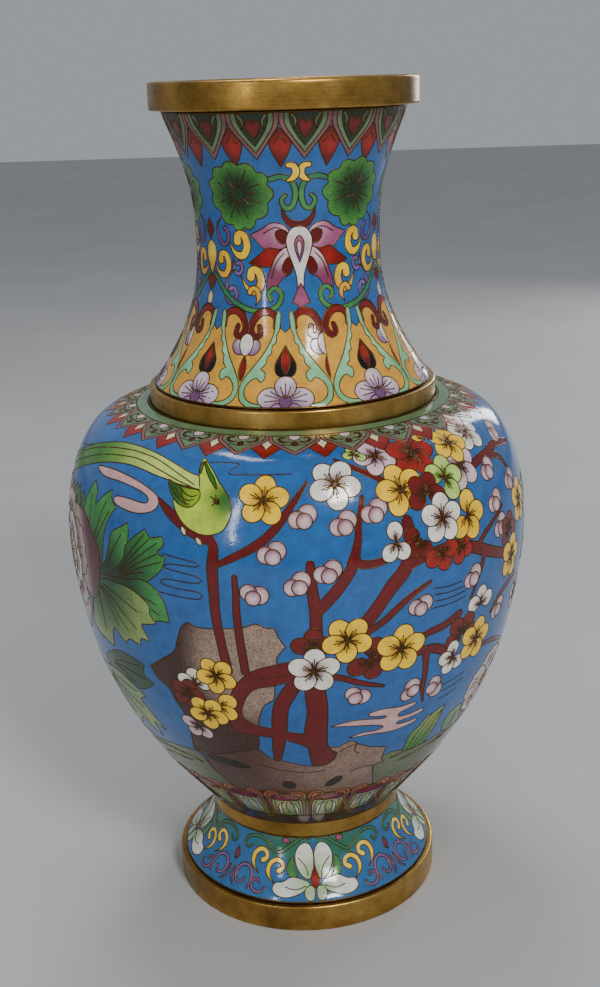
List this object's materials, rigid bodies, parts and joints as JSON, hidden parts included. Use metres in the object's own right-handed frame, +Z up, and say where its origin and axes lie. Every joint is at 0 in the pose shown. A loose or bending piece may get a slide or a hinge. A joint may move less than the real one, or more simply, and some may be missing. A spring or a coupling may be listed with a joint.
{
  "type": "cloisonne vase",
  "caption": "Baluster vase with a waisted neck and flared foot: spun copper under wired enamel, with brass rings at mouth, collar, waist and foot.",
  "frame": {"origin": "middle of the foot ring's resting face", "axes": "+Z up along the vase's axis, -Y towards the front of the decoration, +X to the right seen from the front"},
  "size_m": [0.1418, 0.1418, 0.256],
  "materials": {
    "aged_brass": "satin aged brass with handled highlights",
    "gilt_wire": "polished wire edge, darkened at the enamel",
    "spun_copper": null,
    "neck_enamel": "polished vitreous enamel, blue ground with motifs",
    "neck_lining": "fired counter-enamel, turquoise",
    "shoulder_strip_enamel": "polished vitreous enamel, plain green",
    "body_enamel": "polished vitreous enamel, blue ground with motifs",
    "hem_strip_enamel": "polished vitreous enamel, plain dark red-brown",
    "body_lining": "fired counter-enamel, turquoise",
    "foot_enamel": "polished vitreous enamel, blue ground with motifs",
    "foot_lining": "fired counter-enamel, dark blue",
    "base_enamel": "fired counter-enamel, dark blue"
  },
  "bodies": {
    "root": {"mouth_ring": "aged_brass", "neck_core": "spun_copper", "neck_enamel": "neck_enamel", "neck_lining": "neck_lining", "neck_upper_wire": "gilt_wire", "neck_lower_wire": "gilt_wire", "collar_ring": "aged_brass", "shoulder_core": "spun_copper", "bowl_core": "spun_copper", "body_upper_wire": "gilt_wire", "shoulder_strip_enamel": "shoulder_strip_enamel", "shoulder_strip_wire": "gilt_wire", "body_enamel": "body_enamel", "hem_strip_wire": "gilt_wire", "hem_strip_enamel": "hem_strip_enamel", "body_lower_wire": "gilt_wire", "body_lining": "body_lining", "waist_ring": "aged_brass", "foot_core": "spun_copper", "foot_upper_wire": "gilt_wire", "foot_enamel": "foot_enamel", "foot_lower_wire": "gilt_wire", "foot_lining": "foot_lining", "base_enamel": "base_enamel", "foot_ring": "aged_brass"}
  },
  "joints": []
}
